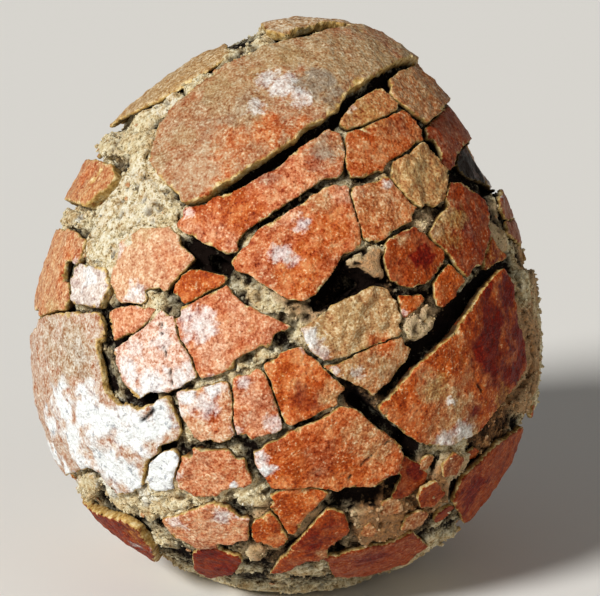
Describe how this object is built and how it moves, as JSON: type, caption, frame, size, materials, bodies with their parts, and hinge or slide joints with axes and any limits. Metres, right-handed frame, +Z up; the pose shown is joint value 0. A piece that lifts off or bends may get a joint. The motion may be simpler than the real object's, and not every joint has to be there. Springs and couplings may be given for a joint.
{
  "type": "fossil dinosaur egg",
  "caption": "Fossil dinosaur egg: broken shell plates, split by open cracks, round a filling of pale hardened sediment, standing on its blunt end.",
  "frame": {"origin": "centre of the flat spot that the egg rests on", "axes": "+Z up towards the narrow end, -Y towards the front, where the broken plates show most, +X to the right seen from the front"},
  "size_m": [0.1795, 0.173, 0.1974],
  "materials": {
    "shell": "granular fossil eggshell with a slight gloss, orange-red to deep red, pale crust in places",
    "sediment": "matte pitted sediment, cream to tan"
  },
  "bodies": {
    "root": {"plate_back_belly_left": "shell", "plate_back_belly_middle": "shell", "plate_back_belly_right": "shell", "plate_back_crown_left": "shell", "plate_back_crown_right": "shell", "plate_back_edge_right": "shell", "plate_back_flank_left": "shell", "plate_back_foot_left": "shell", "plate_back_foot_middle": "shell", "plate_back_foot_right": "shell", "plate_back_middle": "shell", "plate_back_shoulder_left": "shell", "plate_back_shoulder_right": "shell", "plate_band_upper": "shell", "plate_brow_edge": "shell", "plate_brow_left": "shell", "plate_brow_middle": "shell", "plate_brow_right": "shell", "plate_centre_chip": "shell", "plate_centre_dark": "shell", "plate_centre_large": "shell", "plate_centre_ledge": "shell", "plate_centre_right": "shell", "plate_centre_rough": "shell", "plate_centre_wedge": "shell", "plate_crown_cap": "shell", "plate_crown_ridge": "shell", "plate_crown_slab": "shell", "plate_foot_dark": "shell", "plate_foot_edge": "shell", "plate_foot_left": "shell", "plate_foot_long": "shell", "plate_foot_right": "shell", "plate_foot_small": "shell", "plate_foot_upper": "shell", "plate_left_block": "shell", "plate_left_chip": "shell", "plate_left_field": "shell", "plate_left_pale": "shell", "plate_left_rim": "shell", "plate_left_rosy": "shell", "plate_left_shoulder": "shell", "plate_left_slab": "shell", "plate_left_wedge": "shell", "plate_lower_large": "shell", "plate_lower_left": "shell", "plate_lower_right": "shell", "plate_lower_white": "shell", "plate_right_chip": "shell", "plate_right_foot": "shell", "plate_right_middle": "shell", "plate_right_slab": "shell", "plate_right_upper": "shell", "plate_row_left": "shell", "plate_row_middle": "shell", "plate_row_right": "shell", "plate_temple_rough": "shell", "plate_temple_shadow": "shell", "plate_temple_smooth": "shell", "sediment_core": "sediment"}
  },
  "joints": []
}
